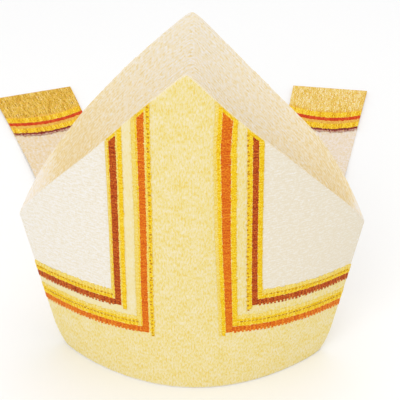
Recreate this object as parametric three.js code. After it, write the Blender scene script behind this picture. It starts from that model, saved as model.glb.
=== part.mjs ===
// A bishop's mitre of woven cloth, standing on its rim with its two lappets laid out behind it.
// Millimetres, +Z up, the front facing -Y. The origin is the middle of the head opening, at the rim.
import * as THREE from "three";

const { clamp, degToRad, lerp } = THREE.MathUtils;

// Shell: two bowed horns, whose level sections together make a pointed lens
const RIM_HALF_WIDTH = 128;
const RIM_HALF_DEPTH = 60;
const SHOULDER_HEIGHT = 154.6;
const SHOULDER_HALF_WIDTH = 157.7;
const PEAK_HEIGHT = 337;
const PEAK_HALF_DEPTH = 53.5;
const BELLY = 5; // extra depth halfway up
const PEAK_ROUNDING = 0.02; // share of the half width
const SHOULDER_ROUNDING = 0.06; // share of the edge's fall that comes late, at the shoulder
const HORN_THICKNESS = 2.4;
const SEWN_GAP = 0.3; // between pieces that are sewn together

// Trim on each horn: a gold cloth under two striped braids, each an upright arm and a level arm
const TRIM_THICKNESS = 1;
const TRIM_FOOT = 1.5; // the gold cloth stops this far above the rim
const TRIM_REACH = 0.975; // share of the half width, so that the trim stays inside the side seams
const BAND_RISE = 6; // the level arms stand this much higher at the middle than at the seams
const BRAIDS = [
  { name: "orange", colour: 0xdc7327, near: 30.5, far: 46.5, low: 59, high: 76 },
  { name: "brown", colour: 0xa0461f, near: 55.5, far: 69.7, low: 86, high: 101 },
];

// Crown web: soft cloth from edge to edge, folding down between the horns
const WEB_THICKNESS = 1.2;
const WEB_MARGIN = 3; // sewn this far below the horns' edges
const WEB_REACH = 0.97; // share of the half width, short of the seams
const VALLEY_ROUNDING = 0.25; // share of the half depth
const WEB_ROWS = 10;

// Lappets: sewn upright on the back of the rim, then turned out along the surface
const LAPPET_THICKNESS = 2;
const LAPPET_ROOT = 78; // along the rim, from the middle of the back
const LAPPET_LENGTH = 435;
const LAPPET_ROOT_WIDTH = 58;
const LAPPET_END_WIDTH = 91;
const LAPPET_TAB_TOP = 24;
const LAPPET_BEND_RADIUS = 7; // of the middle of the cloth
const LAPPET_BEND_STEPS = 4;
const LAPPET_FLAT_STEPS = 8;
const LAPPET_COLUMNS = 4;
const LAPPET_BORDER = 96; // length of the gold end
const LAPPETS = [
  { name: "lappet_left", side: -1, splay: -19 },
  { name: "lappet_right", side: 1, splay: 9.9 },
];

const ROUGHNESS = 0.9;
const COLOURS = { horn: 0xf2ece0, gold: 0xefdd9d, web: 0xeddab6, lappet: 0xead6be, border: 0xe6c765 };

function halfWidth(z) {
  return lerp(RIM_HALF_WIDTH, SHOULDER_HALF_WIDTH, z / SHOULDER_HEIGHT);
}

function halfDepth(z) {
  const rise = z / PEAK_HEIGHT;
  return lerp(RIM_HALF_DEPTH, PEAK_HALF_DEPTH, rise) + 4 * BELLY * rise * (1 - rise);
}

// Slope of the bow at the side seam
function seamSlope(z) {
  return (2 * halfDepth(z)) / halfWidth(z);
}

// Length along the bow from its middle to a share of its half width
function bowLength(share, z) {
  const slope = seamSlope(z);
  const run = slope * share;
  return (halfWidth(z) / (2 * slope)) * (run * Math.hypot(1, run) + Math.asinh(run));
}

// Share of the half width at a length along the bow, found by Newton's steps
function bowShare(length, z) {
  let share = length / halfWidth(z);
  for (let step = 0; step < 6; step++) {
    const pace = halfWidth(z) * Math.hypot(1, seamSlope(z) * share);
    share -= (bowLength(share, z) - length) / pace;
  }
  return share;
}

// A point of the front horn, standing proud of its outer face, or inside it where proud is negative
function hornPoint(share, z, proud) {
  const widening = (proud * Math.hypot(1, seamSlope(z))) / seamSlope(z);
  const x = (halfWidth(z) + widening) * share;
  const y = -SEWN_GAP / 2 - (halfDepth(z) + proud) * (1 - share * share);
  return new THREE.Vector3(x, y, z);
}

// Height of a horn's upper edge: nearly straight from the peak down to the shoulder
function edgeHeight(share) {
  const round = Math.hypot(share, PEAK_ROUNDING) - PEAK_ROUNDING;
  const across = round / (Math.hypot(1, PEAK_ROUNDING) - PEAK_ROUNDING);
  const fall = (1 - SHOULDER_ROUNDING) * across + SHOULDER_ROUNDING * across ** 6;
  return lerp(PEAK_HEIGHT, SHOULDER_HEIGHT, fall);
}

// Chart of a horn. Its upright lines keep their distance from the middle out to the last braid, and fan
// out from there to the seam. Its level lines follow the braids, and above them the upper edge.
const PEAK_LINES = [0, 6, 16]; // close together, to round the peak
const GOLD_LINE = 30; // halfway up the plain gold at the rim
const UPRIGHT_LINES = [...PEAK_LINES, ...BRAIDS.flatMap((braid) => [braid.near, braid.far])];
const LEVEL_LINES = [0, TRIM_FOOT, GOLD_LINE, ...BRAIDS.flatMap((braid) => [braid.low, braid.high])];
const SIDE_COLUMNS = 7;
const EDGE_ROWS = 5;
const HALF_COLUMNS = UPRIGHT_LINES.length - 1 + SIDE_COLUMNS;
const ROWS = LEVEL_LINES.length - 1 + EDGE_ROWS;

function columnShare(column, z) {
  const line = Math.abs(column);
  const last = UPRIGHT_LINES.length - 1;
  const share = bowShare(UPRIGHT_LINES[Math.min(line, last)], z);
  const fan = Math.max(0, line - last) / SIDE_COLUMNS;
  return Math.sign(column) * lerp(share, 1, fan);
}

// Where a column meets the upper edge, found by halving
function columnTop(column) {
  let low = 0;
  let high = PEAK_HEIGHT + 1;
  for (let step = 0; step < 40; step++) {
    const middle = (low + high) / 2;
    const below = edgeHeight(Math.abs(columnShare(column, middle))) > middle;
    low = below ? middle : low;
    high = below ? high : middle;
  }
  return low;
}

function chartHeight(row, column) {
  const last = LEVEL_LINES.length - 1;
  const level = LEVEL_LINES[Math.min(row, last)];
  const share = columnShare(column, level);
  const rise = BAND_RISE * Math.min(1, level / BRAIDS[0].low) * (1 - share * share);
  return lerp(level + rise, columnTop(column), Math.max(0, row - last) / EDGE_ROWS);
}

// A closed sheet over the cells of a grid that covers() picks. point(row, column, outer) gives its two
// faces. Seen from outside, columns run to the right and rows run up.
function closedSheet({ rows, columns, covers = () => true, point }) {
  const [firstColumn, lastColumn] = columns;
  const numbers = new Map();
  const positions = [];
  const triangles = [];

  function corner(row, column, outer) {
    const key = `${row},${column},${outer}`;
    if (!numbers.has(key)) {
      numbers.set(key, numbers.size);
      positions.push(...point(row, column, outer).toArray());
    }
    return numbers.get(key);
  }

  function quad(a, b, c, d) {
    triangles.push(a, b, c, a, c, d);
  }

  function covered(row, column) {
    const inside = row >= 0 && row < rows && column >= firstColumn && column < lastColumn;
    return inside && covers(row, column);
  }

  for (let row = 0; row < rows; row++) {
    for (let column = firstColumn; column < lastColumn; column++) {
      if (!covered(row, column)) continue;
      const places = [[row, column], [row, column + 1], [row + 1, column + 1], [row + 1, column]];
      const outer = places.map(([r, c]) => corner(r, c, true));
      const inner = places.map(([r, c]) => corner(r, c, false));
      const neighbours = [[row - 1, column], [row, column + 1], [row + 1, column], [row, column - 1]];
      quad(...outer);
      quad(...inner.toReversed());
      neighbours.forEach(([r, c], side) => {
        const next = (side + 1) % 4;
        if (!covered(r, c)) quad(outer[side], inner[side], inner[next], outer[next]);
      });
    }
  }
  const geometry = new THREE.BufferGeometry();
  geometry.setAttribute("position", new THREE.Float32BufferAttribute(positions, 3));
  geometry.setIndex(triangles);
  geometry.computeVertexNormals();
  return geometry;
}

// Moves a point of a surface off it along the normal, taken from its neighbours in the grid
function offSurface(surface, row, column, distance, { rows, columns }) {
  const along = surface(row, Math.min(column + 1, columns[1]));
  along.sub(surface(row, Math.max(column - 1, columns[0])));
  const up = surface(Math.min(row + 1, rows), column);
  up.sub(surface(Math.max(row - 1, 0), column));
  const normal = along.cross(up).normalize();
  return surface(row, column).addScaledVector(normal, distance);
}

// A cloth of even thickness about a middle surface
function cloth(surface, thickness, grid) {
  const half = thickness / 2;
  const point = (row, column, outer) => offSurface(surface, row, column, outer ? half : -half, grid);
  return closedSheet({ ...grid, point });
}

function piece(name, geometry, colour) {
  const material = new THREE.MeshStandardMaterial({ color: colour, roughness: ROUGHNESS, metalness: 0 });
  const mesh = new THREE.Mesh(geometry, material);
  mesh.name = name;
  return mesh;
}

// A piece laid on the chart, from one height off the horn's outer face to another
function chartPiece({ inner, outer, reach = 1, covers }) {
  const point = (row, column, isOuter) => {
    const z = chartHeight(row, column);
    const share = clamp(columnShare(column, z), -reach, reach);
    return hornPoint(share, z, isOuter ? outer : inner);
  };
  return closedSheet({ rows: ROWS, columns: [-HALF_COLUMNS, HALF_COLUMNS], covers, point });
}

// A trim cloth, its foot this far off the horn's outer face
function trimPiece(foot, covers) {
  return chartPiece({ inner: foot, outer: foot + TRIM_THICKNESS, reach: TRIM_REACH, covers });
}

// Counts a cell's place outwards from the middle line
function cellLine(column) {
  return column < 0 ? -1 - column : column;
}

function orphreyCovers(row, column) {
  const inRimBand = row < LEVEL_LINES.length - 1;
  const inUprightBand = cellLine(column) < UPRIGHT_LINES.length - 1;
  return row > 0 && (inRimBand || inUprightBand);
}

function braidCovers(braid, side) {
  const upright = UPRIGHT_LINES.indexOf(braid.near);
  const level = LEVEL_LINES.indexOf(braid.low);
  return (row, column) => {
    const onSide = column < 0 ? side < 0 : side > 0;
    const inUpright = cellLine(column) === upright && row >= level;
    const inLevel = row === level && cellLine(column) >= upright;
    return onSide && (inUpright || inLevel);
  };
}

// One face of the mitre: its horn with the gold cloth and the four braids on it
function makeFace(face) {
  const group = new THREE.Group();
  const braidFoot = SEWN_GAP + TRIM_THICKNESS + SEWN_GAP;
  group.add(piece(`${face}_horn`, chartPiece({ inner: -HORN_THICKNESS, outer: 0 }), COLOURS.horn));
  group.add(piece(`${face}_orphrey`, trimPiece(SEWN_GAP, orphreyCovers), COLOURS.gold));
  for (const braid of BRAIDS) {
    for (const [word, side] of [["left", -1], ["right", 1]]) {
      const strip = trimPiece(braidFoot, braidCovers(braid, side));
      group.add(piece(`${face}_${word}_${braid.name}_braid`, strip, braid.colour));
    }
  }
  return group;
}

// The web's cloth is as long, from each edge, as the horn stands above its shoulders, so it lies flat
// when the horns are pressed together, and hangs in a rounded valley when they are apart.
function makeWeb() {
  const grid = { rows: WEB_ROWS, columns: [-HALF_COLUMNS, HALF_COLUMNS] };
  const inset = -(HORN_THICKNESS + SEWN_GAP + WEB_THICKNESS / 2);

  function surface(row, column) {
    const share = Math.min(WEB_REACH, Math.abs(columnShare(column, columnTop(column))));
    const top = edgeHeight(share) - WEB_MARGIN;
    const edge = hornPoint(Math.sign(column) * share, top, inset);
    const halfSpan = -edge.y;
    const clothLength = top + WEB_MARGIN - SHOULDER_HEIGHT;
    const depth = Math.sqrt(Math.max(clothLength ** 2 - halfSpan ** 2, 0));
    const across = (2 * row) / WEB_ROWS - 1;
    const round = Math.hypot(across, VALLEY_ROUNDING) - VALLEY_ROUNDING;
    const climb = round / (Math.hypot(1, VALLEY_ROUNDING) - VALLEY_ROUNDING);
    return new THREE.Vector3(edge.x, halfSpan * across, top - depth * (1 - climb));
  }
  return piece("crown_web", cloth(surface, WEB_THICKNESS, grid), COLOURS.web);
}

// The same point on the back horn, with the share counted towards +X
function backPoint(share, z, proud) {
  const point = hornPoint(-share, z, proud);
  return point.set(-point.x, -point.y, z);
}

// The middle surface of a lappet: a tab against the back of the rim, a bend, and a straight flat run
function lappetSurface({ side, splay }) {
  const root = backPoint(bowShare(side * LAPPET_ROOT, 0), 0, 0);
  const angle = degToRad(splay);
  const axis = new THREE.Vector3(Math.sin(angle), Math.cos(angle), 0);
  const across = new THREE.Vector3(Math.cos(angle), -Math.sin(angle), 0);
  const tabProud = TRIM_THICKNESS + 2 * SEWN_GAP + LAPPET_THICKNESS / 2;
  const floor = LAPPET_THICKNESS / 2;
  const bendCentre = floor + LAPPET_BEND_RADIUS;
  const lastBend = 1 + LAPPET_BEND_STEPS;

  return (row, column) => {
    const offset = column / LAPPET_COLUMNS - 0.5;
    const length = side * LAPPET_ROOT + offset * LAPPET_ROOT_WIDTH;
    if (row === 0) return backPoint(bowShare(length, LAPPET_TAB_TOP), LAPPET_TAB_TOP, tabProud);
    const turn = (Math.PI / 2) * Math.min(1, (row - 1) / LAPPET_BEND_STEPS);
    const z = bendCentre - LAPPET_BEND_RADIUS * Math.sin(turn);
    const proud = tabProud + LAPPET_BEND_RADIUS * (1 - Math.cos(turn));
    const point = backPoint(bowShare(length, z), z, proud);
    if (row <= lastBend) return point;
    const end = root.clone().addScaledVector(axis, LAPPET_LENGTH);
    end.addScaledVector(across, offset * LAPPET_END_WIDTH).setZ(floor);
    return point.lerp(end, (row - lastBend) / LAPPET_FLAT_STEPS);
  };
}

function makeLappet(lappet) {
  const group = new THREE.Group();
  const surface = lappetSurface(lappet);
  const rows = 1 + LAPPET_BEND_STEPS + LAPPET_FLAT_STEPS;
  const columns = [0, LAPPET_COLUMNS];
  group.add(piece(lappet.name, cloth(surface, LAPPET_THICKNESS, { rows, columns }), COLOURS.lappet));

  // The gold end lies on the last stretch of the flat run
  const lift = new THREE.Vector3(0, 0, (LAPPET_THICKNESS + TRIM_THICKNESS) / 2 + SEWN_GAP);
  const start = 1 + LAPPET_BEND_STEPS;
  const run = surface(start, LAPPET_COLUMNS / 2).distanceTo(surface(rows, LAPPET_COLUMNS / 2));
  const borderStart = (1 - LAPPET_BORDER / run) * LAPPET_FLAT_STEPS;
  const borderRows = 2;
  const borderSurface = (row, column) =>
    surface(start + lerp(borderStart, LAPPET_FLAT_STEPS, row / borderRows), column).add(lift);
  const border = cloth(borderSurface, TRIM_THICKNESS, { rows: borderRows, columns });
  group.add(piece(`${lappet.name}_border`, border, COLOURS.border));
  return group;
}

const mitre = new THREE.Group();
const back = makeFace("back");
back.rotation.z = Math.PI;
mitre.add(makeFace("front"), back, makeWeb(), ...LAPPETS.map(makeLappet));

export default mitre;
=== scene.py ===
import bmesh
import bpy
import numpy as np
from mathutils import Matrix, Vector


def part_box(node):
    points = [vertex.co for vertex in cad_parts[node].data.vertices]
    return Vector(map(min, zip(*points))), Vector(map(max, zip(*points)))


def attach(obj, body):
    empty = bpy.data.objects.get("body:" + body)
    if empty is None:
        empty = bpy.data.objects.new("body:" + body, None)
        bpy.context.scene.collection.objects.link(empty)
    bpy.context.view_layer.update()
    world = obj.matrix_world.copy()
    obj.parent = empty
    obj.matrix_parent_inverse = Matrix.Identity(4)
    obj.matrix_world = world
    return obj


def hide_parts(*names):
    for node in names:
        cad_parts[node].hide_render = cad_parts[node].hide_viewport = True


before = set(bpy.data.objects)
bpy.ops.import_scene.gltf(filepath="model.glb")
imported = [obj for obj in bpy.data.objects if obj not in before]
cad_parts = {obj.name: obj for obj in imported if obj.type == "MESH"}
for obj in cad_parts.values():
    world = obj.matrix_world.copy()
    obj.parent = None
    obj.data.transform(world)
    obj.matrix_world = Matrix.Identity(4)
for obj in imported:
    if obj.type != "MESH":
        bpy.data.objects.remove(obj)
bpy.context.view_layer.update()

# Horns
# The front and back of the mitre: two alike faces of cream wool over a stiff interlining, bowed into a
# pointed lens. Their edges are turned in and rolled soft, and they are sewn together up the side seams.
horn_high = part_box("front_horn")[1]
PEAK_HEIGHT = horn_high[2]
SHOULDER_HALF_WIDTH = horn_high[0]
RIM_HALF_WIDTH = 0.128
RIM_HALF_DEPTH = 0.060
SHOULDER_HEIGHT = 0.1546
PEAK_HALF_DEPTH = 0.0535
BELLY = 0.005
PEAK_ROUNDING = 0.015
SHOULDER_ROUNDING = 0.06
SHOULDER_SHARPNESS = 6
# How far each upper edge sags, by share of its half width from -X to +X. The front faces -1, the back 1.
EDGE_SAG = {
    -1: {"share": (-1, -0.7, -0.47, -0.2, 0, 0.14, 0.29, 0.45, 0.7, 1),
         "sag": (0, 0.0018, 0.0030, 0, 0.0003, 0.0036, 0.0044, 0.0025, 0.0012, 0)},
    1: {"share": (-1, -0.88, -0.78, -0.57, -0.45, -0.3, -0.1, 0, 0.06, 0.17, 0.30, 0.43, 0.57, 0.65, 1),
        "sag": (0, 0.0015, 0, -0.0010, 0.0010, 0.0018, 0.0010, 0, 0.0016, 0.0060, 0.0078, 0.0070, 0.0034,
                0, 0)},
}
SAG_SPREAD = np.linspace(-0.05, 0.05, 9)
HORN_THICKNESS = 0.0024
EDGE_THICKNESS = 0.0008
LEAST_THICKNESS = 0.0001
EDGE_TAPER = 0.02
EDGE_ROLL = 0.0006
SEAM_GROOVE = 0.0005
SEAM_GROOVE_WIDTH = 0.0009
SEAM_FLATTENS = 0.005
SEAM_KEEPS = 0.3
RIPPLE = 0.0006
RIPPLE_ALONG = (0.043, 0.027)
RIPPLE_UP = (0.051, 0.039)
RIPPLE_PHASE = 0.6
RIPPLE_FROM_SEAM = 0.03
RIPPLE_FROM_RIM = 0.04
CORNER_TUCK = 0.0045
CORNER_HEIGHT = 0.03
CORNER_SHARPNESS = 12
RIM_SHIFT = 0.0018
# Tone of the horns' cloth by share of the half width. On the front this is painted shade: lighter on the
# left, darker and warmer towards the right, where less light falls. The back keeps one even tone.
HORN_TONE_AND_PAINTED_SHADE = {"shares": (-1, -0.4, 0.4, 1), "front": (-0.2, 0, 1.3, 1.6), "back": (0.5, 0.5, 0.5, 0.5)}
HORN_COLUMNS = 150
HORN_ROWS = 110
ROLL_STEPS = 5
SEAM_CROWDING = 0.35
NEWTON_STEPS = 6
SHARP_ANGLE = np.radians(60)


def half_width(z):
    return RIM_HALF_WIDTH + (SHOULDER_HALF_WIDTH - RIM_HALF_WIDTH) * z / SHOULDER_HEIGHT


def half_depth(z):
    rise = z / PEAK_HEIGHT
    straight = RIM_HALF_DEPTH + (PEAK_HALF_DEPTH - RIM_HALF_DEPTH) * rise
    return straight + 4 * BELLY * rise * (1 - rise)


def bow_length(share, z):
    """Length along the bowed cloth, from its middle to a share of its half width."""
    slope = 2 * half_depth(z) / half_width(z)
    run = slope * share
    return half_width(z) / (2 * slope) * (run * np.hypot(1, run) + np.arcsinh(run))


def bow_share(length, z):
    """Share of the half width at a length along the cloth, by Newton's steps."""
    slope = 2 * half_depth(z) / half_width(z)
    share = length / half_width(z)
    for _ in range(NEWTON_STEPS):
        share = share - (bow_length(share, z) - length) / (half_width(z) * np.hypot(1, slope * share))
    return share


def edge_height(share, facing):
    """Height of a horn's upper edge, nearly straight from the peak down to the shoulder, less its sag."""
    across = np.hypot(share, PEAK_ROUNDING) - PEAK_ROUNDING
    across = across / (np.hypot(1, PEAK_ROUNDING) - PEAK_ROUNDING)
    fall = (1 - SHOULDER_ROUNDING) * across + SHOULDER_ROUNDING * across ** SHOULDER_SHARPNESS
    table = EDGE_SAG[facing]
    sags = [np.interp(-facing * share + slip, table["share"], table["sag"]) for slip in SAG_SPREAD]
    return PEAK_HEIGHT + (SHOULDER_HEIGHT - PEAK_HEIGHT) * fall - np.mean(sags, axis=0)


def roll(share, z, facing):
    """How far the outer face is drawn in where the cloth rolls over the rim and the upper edge."""
    from_edge = np.clip(np.minimum(z, edge_height(share, facing) - z) / EDGE_ROLL, 0, 1)
    return EDGE_ROLL * (np.sqrt(1 - (1 - from_edge) ** 2) - 1)


def face_point(share, z, proud, facing):
    """A point on a horn, standing proud of its outer face. Facing is -1 on the front, 1 on the back."""
    along = bow_length(share, z)
    seam_distance = bow_length(1, z) - np.abs(along)
    slow = np.sin(along / RIPPLE_ALONG[0] + facing) * np.sin(z / RIPPLE_UP[0] + RIPPLE_PHASE)
    slow = slow + np.sin(along / RIPPLE_ALONG[1] - z / RIPPLE_UP[1])
    dents = RIPPLE * slow * np.clip(seam_distance / RIPPLE_FROM_SEAM, 0, 1)
    dents = dents * np.clip(z / RIPPLE_FROM_RIM, 0, 1)
    groove = SEAM_GROOVE * np.exp(-((seam_distance / SEAM_GROOVE_WIDTH) ** 2))
    pressed = proud * np.clip(SEAM_KEEPS + seam_distance / SEAM_FLATTENS, 0, 1)
    lift = np.where(proud > 0, pressed, proud) + dents - groove
    slope = 2 * half_depth(z) / half_width(z)
    tuck = CORNER_TUCK * np.clip(1 - z / CORNER_HEIGHT, 0, 1) ** 2 * np.abs(share) ** CORNER_SHARPNESS
    x = (half_width(z) - tuck + lift * np.hypot(1, slope) / slope) * share
    y = (half_depth(z) + lift) * (1 - share ** 2)
    x = -facing * x + RIM_SHIFT * (1 - z / PEAK_HEIGHT)
    return np.stack([x, facing * y, np.broadcast_to(z, x.shape)], axis=-1)


def mesh_object(name, points, faces, cloth, shade, materials, slots=None):
    """A closed mesh that keeps, at each point, its place on the flat cloth in metres, and a shade."""
    mesh = bpy.data.meshes.new(name)
    mesh.from_pydata(points.tolist(), [], faces)
    place = np.zeros((len(points), 3))
    place[:, :2] = cloth
    mesh.attributes.new("cloth", "FLOAT_VECTOR", "POINT").data.foreach_set("vector", place.ravel())
    mesh.attributes.new("shade", "FLOAT", "POINT").data.foreach_set("value", shade)
    for material in materials:
        mesh.materials.append(material)
    if slots is not None:
        mesh.polygons.foreach_set("material_index", slots)
    shell = bmesh.new()
    shell.from_mesh(mesh)
    bmesh.ops.recalc_face_normals(shell, faces=shell.faces)
    shell.to_mesh(mesh)
    shell.free()
    mesh.shade_smooth()
    mesh.set_sharp_from_angle(angle=SHARP_ANGLE)
    piece = bpy.data.objects.new(name, mesh)
    bpy.context.collection.objects.link(piece)
    return piece


def cloth_faces(outer, inner, keep=None):
    """Points and faces of a closed cloth between two grids of points, over the cells that are kept."""
    rows, columns = outer.shape[:2]
    number = np.arange(rows * columns).reshape(rows, columns)
    keep = np.ones((rows - 1, columns - 1), bool) if keep is None else keep
    cells = np.stack([number[:-1, :-1], number[:-1, 1:], number[1:, 1:], number[1:, :-1]], axis=-1)
    framed = np.pad(keep, 1)
    beside = [framed[:-2, 1:-1], framed[1:-1, 2:], framed[2:, 1:-1], framed[1:-1, :-2]]
    faces = [cells[keep], cells[keep][:, ::-1] + number.size]
    for side, neighbour in enumerate(beside):
        rim = cells[keep & ~neighbour]
        first, second = rim[:, side], rim[:, (side + 1) % 4]
        faces.append(np.stack([first, first + number.size, second + number.size, second], axis=-1))
    faces = np.concatenate(faces)
    used, faces = np.unique(faces, return_inverse=True)
    points = np.concatenate([outer.reshape(-1, 3), inner.reshape(-1, 3)])[used]
    return points, faces.reshape(-1, 4).tolist(), used % number.size


def cloth_object(name, outer, inner, cloth, shade, material, keep=None):
    """One closed cloth of one material, shaded by the columns, or by the cells' corners."""
    points, faces, used = cloth_faces(outer, inner, keep)
    shade = np.broadcast_to(shade, outer.shape[:2])
    return mesh_object(name, points, faces, cloth.reshape(-1, 2)[used], shade.ravel()[used], [material])


def flat_area(cloth, keep=None):
    """Area of the flat cut, from the corners' places on the flat cloth."""
    first = cloth[1:, 1:] - cloth[:-1, :-1]
    second = cloth[1:, :-1] - cloth[:-1, 1:]
    cells = np.abs(first[..., 0] * second[..., 1] - first[..., 1] * second[..., 0]) / 2
    return float((cells if keep is None else cells[keep]).sum())


def linear(colour):
    """A hex colour as Blender's linear red, green, blue and alpha."""
    channels = np.array([int(colour[place:place + 2], 16) for place in (1, 3, 5)]) / 255
    curve = np.where(channels <= 0.04045, channels / 12.92, ((channels + 0.055) / 1.055) ** 2.4)
    return (*curve.tolist(), 1.0)


def bare_material(name):
    """A new material that has no nodes yet."""
    material = bpy.data.materials.new(name)
    material.use_nodes = True
    material.node_tree.nodes.clear()
    return material


def add_node(material, kind, inputs=None, stops=(), **settings):
    """Adds a node with its settings, sets or links its inputs, and gives a colour ramp its stops."""
    node = material.node_tree.nodes.new(kind)
    for name, value in settings.items():
        setattr(node, name, value)
    for name, value in (inputs or {}).items():
        if isinstance(value, bpy.types.NodeSocket):
            material.node_tree.links.new(value, node.inputs[name])
        else:
            node.inputs[name].default_value = value
    if stops:
        elements = node.color_ramp.elements
        while len(elements) < len(stops):
            elements.new(1.0)
        for element, (place, colour) in zip(elements, stops):
            element.position = place
            element.color = linear(colour)
    return node


def woven_wool(name, tones, weft_mm, slub_mm, fleck_mm, spread, relief_mm):
    """Plain-woven wool: matte, faintly ribbed across, its slubs and flecks of dyed fibre mottling it.
    The real threads are under a millimetre apart, so the ribs are drawn coarser, to show."""
    rib_in_colour = 0.08
    rib_in_relief = 0.35
    middle_tone = 0.52
    band_spacing_at_scale_1 = np.pi / 10
    material = bare_material(name)
    place = add_node(material, "ShaderNodeAttribute", attribute_name="cloth").outputs["Vector"]
    warmth = add_node(material, "ShaderNodeAttribute", attribute_name="shade").outputs["Fac"]
    slub_scale = [1000 / size for size in slub_mm] + [1]
    slub_place = add_node(material, "ShaderNodeMapping", {"Vector": place, "Scale": slub_scale})
    slub = add_node(material, "ShaderNodeTexNoise", {
        "Vector": slub_place.outputs["Vector"], "Scale": 1.0, "Detail": 2.0, "Roughness": 0.6})
    fleck = add_node(material, "ShaderNodeTexNoise", {
        "Vector": place, "Scale": 1000 / fleck_mm, "Detail": 2.0, "Roughness": 0.6})
    weft = add_node(material, "ShaderNodeTexWave", {
        "Vector": place, "Scale": band_spacing_at_scale_1 * 1000 / weft_mm, "Distortion": 2.5,
        "Detail": 2.0, "Detail Scale": 0.4}, bands_direction="Y")
    mottle = add_node(material, "ShaderNodeMath", {
        0: slub.outputs["Fac"], 1: fleck.outputs["Fac"]}, operation="ADD")
    ribbed = add_node(material, "ShaderNodeMath", {
        0: weft.outputs["Fac"], 1: rib_in_colour, 2: mottle.outputs["Value"]}, operation="MULTIPLY_ADD")
    # The shade attribute moves the colour towards the darker, warmer tones. On the front horn and the web
    # this paints shade; on each lappet it gives one even tone.
    warmed = add_node(material, "ShaderNodeMath", {
        0: warmth, 1: -spread, 2: ribbed.outputs["Value"]}, operation="MULTIPLY_ADD")
    halved = add_node(material, "ShaderNodeMath", {0: warmed.outputs["Value"], 1: 0.5}, operation="MULTIPLY")
    places = middle_tone + spread * np.linspace(-1, 1, len(tones))
    ramp = add_node(material, "ShaderNodeValToRGB", {"Fac": halved.outputs["Value"]},
                    stops=list(zip(places, tones)))
    height = add_node(material, "ShaderNodeMath", {
        0: weft.outputs["Fac"], 1: rib_in_relief, 2: mottle.outputs["Value"]}, operation="MULTIPLY_ADD")
    bump = add_node(material, "ShaderNodeBump", {
        "Height": height.outputs["Value"], "Strength": 0.5, "Distance": relief_mm / 1000})
    shader = add_node(material, "ShaderNodeBsdfPrincipled", {
        "Base Color": ramp.outputs["Color"], "Normal": bump.outputs["Normal"], "Roughness": 0.92,
        "IOR": 1.5, "Specular IOR Level": 0.25, "Sheen Weight": 0.15, "Sheen Roughness": 0.6})
    add_node(material, "ShaderNodeOutputMaterial", {"Surface": shader.outputs["BSDF"]})
    return material


cream_wool = woven_wool("cream wool cloth", ("#e9dec6", "#efe8d9", "#f4f0ec"),
                        weft_mm=2.4, slub_mm=(5, 2.2), fleck_mm=1.8, spread=0.12, relief_mm=0.2)


def make_horn(face, facing):
    crowded = np.sin(np.linspace(-np.pi / 2, np.pi / 2, HORN_COLUMNS))
    share = SEAM_CROWDING * crowded + (1 - SEAM_CROWDING) * np.linspace(-1, 1, HORN_COLUMNS)
    rolled = EDGE_ROLL * (1 - np.cos(np.linspace(0, np.pi / 2, ROLL_STEPS, endpoint=False)))
    top = edge_height(share, facing)[None, :]
    climb = np.linspace(0, 1, HORN_ROWS)[:, None]
    body = EDGE_ROLL + (top - 2 * EDGE_ROLL) * climb
    z = np.concatenate([np.repeat(rolled[:, None], HORN_COLUMNS, 1), body, top - rolled[::-1, None]])
    share = np.broadcast_to(share, z.shape)
    drawn_in = roll(share, z, facing)
    stiffened = np.clip((top - z) / EDGE_TAPER, 0, 1)
    thickness = EDGE_THICKNESS + (HORN_THICKNESS - EDGE_THICKNESS) * stiffened
    sunk = np.minimum(-thickness - drawn_in * stiffened, drawn_in - LEAST_THICKNESS)
    outer = face_point(share, z, drawn_in, facing)
    inner = face_point(share, z, sunk, facing)
    cloth = np.stack([bow_length(share, z), z], axis=-1)
    # Painted shade across the front horn, and one even tone on the back, from the table above.
    warmth = np.interp(share, HORN_TONE_AND_PAINTED_SHADE["shares"], HORN_TONE_AND_PAINTED_SHADE[face])
    horn = cloth_object(f"{face}_horn_cloth", outer, inner, cloth, warmth, cream_wool)
    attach(horn, "root")
    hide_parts(f"{face}_horn")


FACES = {"front": -1, "back": 1}
for face, facing in FACES.items():
    make_horn(face, facing)

# Orphreys
# On each horn lies a gold-coloured weave cut as an upside-down T, a band round the rim and one up to the
# peak. It is slubbed along its upright threads and sewn down flat, and paler between the left braids.
TRIM_FOOT = 0.0015
TRIM_REACH = 0.994
BAND_TOP = 0.1016
SEWN_LEVELS = (0, 0.059, 0.076, 0.086, 0.101)
LEFT_DROP = (0, -0.0020, -0.0003, -0.0014, 0.0002)
LEFT_RISE = (0, 0.0090, 0.0076, 0.0094, 0.0080)
RIGHT_DROP = (0, -0.0009, 0.0016, 0.0045, 0.0045)
RIGHT_RISE = (0, 0.0112, 0.0094, 0.0083, 0.0080)
LEFT_SEWING = {"lines": (0.047, 0.055), "lean": (0, 0.0055), "bow": (0.0008, 0)}
LEFT_LEAN_FROM = 0.220
RIGHT_SEWING = {"lines": (0.036, 0.042, 0.055), "inset": (0.0010, 0.0010, 0.0008),
                "lean": (0.034, 0.022, 0.022), "bow": (0.0009, 0.0009, 0), "turn": (0.075, 0.075, 0)}
RIGHT_LEAN_FROM = 0.084
RIGHT_TURN_FROM = 0.268
BOW_MIDDLE = 0.185
BOW_SPREAD = 0.055
SEWING_FADE = 0.03
MIDDLE_BLEND = 0.15
HALVINGS = 40
UPRIGHT_HALF_WIDTH = 0.0697
PALE_STRIPE = {"near": 0.0465, "far": 0.0555, "low": 0.0768, "high": 0.086, "left": 0.42, "right": 0}
PALE_TONE = "#f1e8c6"
ORPHREY_PROUD = 0.0004
ORPHREY_CLEARANCE = 0.0001
ORPHREY_STEP = 0.0021
SIDE_COLUMNS = 42
BAND_ROWS = 48
UPRIGHT_ROWS = 110


def smooth_step(value):
    value = np.clip(value, 0, 1)
    return value * value * (3 - 2 * value)


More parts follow.
